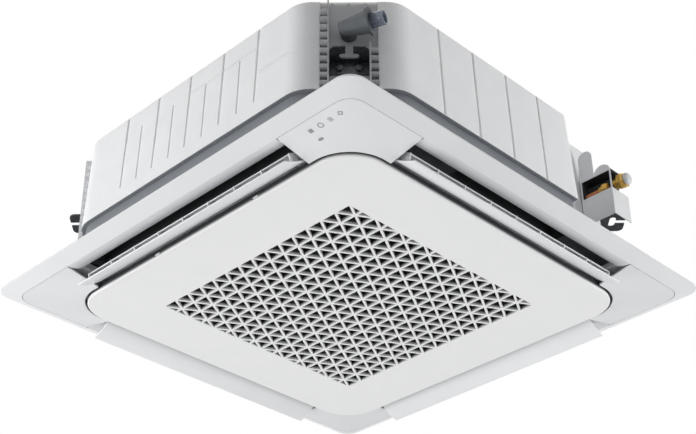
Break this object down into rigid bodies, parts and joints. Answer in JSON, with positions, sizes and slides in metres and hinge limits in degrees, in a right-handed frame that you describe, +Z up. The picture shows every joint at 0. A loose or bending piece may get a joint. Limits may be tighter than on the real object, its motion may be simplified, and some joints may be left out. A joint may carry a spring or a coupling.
{
  "type": "ceiling cassette air conditioner",
  "caption": "Square four-way ceiling cassette air conditioner with a white panel, a triangle-lattice intake grille, outlet vanes and a body hung on rods above the ceiling.",
  "frame": {"origin": "centre of the four hanging-rod slots, in the plane of the undersides of the hanger plates", "axes": "+Z up to the roof slab along the hanging rods; +X and +Y square to two neighbouring sides of the body, with the refrigerant pipes leaving towards -Y near the +X -Y corner and the drain outlet at the -X -Y corner"},
  "size_m": [0.95, 0.95, 0.335],
  "materials": {
    "shell_foam": "white bead foam with a smooth moulded skin",
    "shell_steel": "white powder coat over steel sheet",
    "casing_steel": "bluish grey coat",
    "post_grey": "grey sheet",
    "hanger_steel": "dark galvanised",
    "zinc_steel": "galvanised",
    "foam": "moulded white foam",
    "dark_plastic": "moulded",
    "fan_plastic": "moulded",
    "fin_aluminium": "fin pack",
    "copper": "bare copper",
    "nut_brass": "machined",
    "black_foam": "closed-cell foam",
    "black_rubber": "moulded rubber",
    "grey_plastic": "moulded",
    "board_green": "circuit board",
    "panel_white": "fine satin white",
    "cover_white": "fine satin white",
    "vane_white": "fine satin white",
    "filter_grey": "woven mesh in a frame"
  },
  "bodies": {
    "unit": {"cabinet_shell": "shell_foam", "top_plate": "zinc_steel", "lower_casing": "casing_steel", "hanger_bolts": "zinc_steel", "drain_pan": "foam", "bell_mouth": "dark_plastic", "coil_fins": "fin_aluminium", "coil_end_plates": "zinc_steel", "coil_bends": "copper", "coil_headers": "copper", "gas_pipe": "copper", "liquid_pipe": "copper", "gas_flare_nut": "nut_brass", "liquid_flare_nut": "nut_brass", "pipe_insulation": "black_foam", "pipe_cover": "shell_steel", "drain_pump": "grey_plastic", "drain_hose": "grey_plastic", "drain_boot": "black_rubber", "drain_tube": "grey_plastic", "float_stem": "grey_plastic", "fan_motor": "zinc_steel", "motor_mounts": "black_rubber", "motor_bracket": "zinc_steel", "control_box": "zinc_steel", "control_cover": "zinc_steel", "control_board": "board_green", "terminal_block": "grey_plastic", "panel_frame": "panel_white", "panel_gasket": "black_foam", "panel_screws": "zinc_steel", "display_board": "board_green", "corner_post_front": "post_grey", "corner_post_left": "post_grey", "corner_post_back": "post_grey", "hanger_back": "hanger_steel", "corner_cover_back": "cover_white", "hanger_left": "hanger_steel", "corner_cover_left": "cover_white", "hanger_front": "hanger_steel", "corner_cover_front": "cover_white", "hanger_right": "hanger_steel", "corner_cover_right": "cover_white", "vane_motor_back_right": "grey_plastic", "vane_motor_back_left": "grey_plastic", "vane_motor_front_left": "grey_plastic", "vane_motor_front_right": "grey_plastic"},
    "fan": {"fan_impeller": "fan_plastic", "fan_nut": "zinc_steel"},
    "float": {"float_ring": "grey_plastic"},
    "grille": {"grille_panel": "panel_white", "hinge_pins": "zinc_steel", "air_filter": "filter_grey"},
    "latch_right": {"grille_latch_right": "panel_white"},
    "latch_left": {"grille_latch_left": "panel_white"},
    "vane_back_right": {"vane_back_right": "vane_white"},
    "vane_back_left": {"vane_back_left": "vane_white"},
    "vane_front_left": {"vane_front_left": "vane_white"},
    "vane_front_right": {"vane_front_right": "vane_white"}
  },
  "joints": [
    {"name": "fan_spin", "type": "hinge", "parent": "unit", "child": "fan", "pos_m": [0, 0, 0], "axis": [0, 0, 1], "continuous": true},
    {"name": "grille_swing", "type": "hinge", "parent": "unit", "child": "grille", "pos_m": [0.35, 0, -0.1783], "axis": [0, -1, 0], "range_deg": [0, 80]},
    {"name": "latch_right_slide", "type": "slide", "parent": "grille", "child": "latch_right", "axis": [0, 1, 0], "range_m": [0, 0.005]},
    {"name": "latch_left_slide", "type": "slide", "parent": "grille", "child": "latch_left", "axis": [0, 1, 0], "range_m": [0, 0.005]},
    {"name": "float_slide", "type": "slide", "parent": "unit", "child": "float", "axis": [0, 0, 1], "range_m": [0, 0.008]},
    {"name": "vane_back_right_swing", "type": "hinge", "parent": "unit", "child": "vane_back_right", "pos_m": [0.384, 0, -0.164], "axis": [0, 1, 0], "range_deg": [-31, 27]},
    {"name": "vane_back_left_swing", "type": "hinge", "parent": "unit", "child": "vane_back_left", "pos_m": [0, 0.384, -0.164], "axis": [-1, 0, 0], "range_deg": [-31, 27]},
    {"name": "vane_front_left_swing", "type": "hinge", "parent": "unit", "child": "vane_front_left", "pos_m": [-0.384, 0, -0.164], "axis": [0, -1, 0], "range_deg": [-31, 27]},
    {"name": "vane_front_right_swing", "type": "hinge", "parent": "unit", "child": "vane_front_right", "pos_m": [0, -0.384, -0.164], "axis": [1, 0, 0], "range_deg": [-31, 27]}
  ]
}
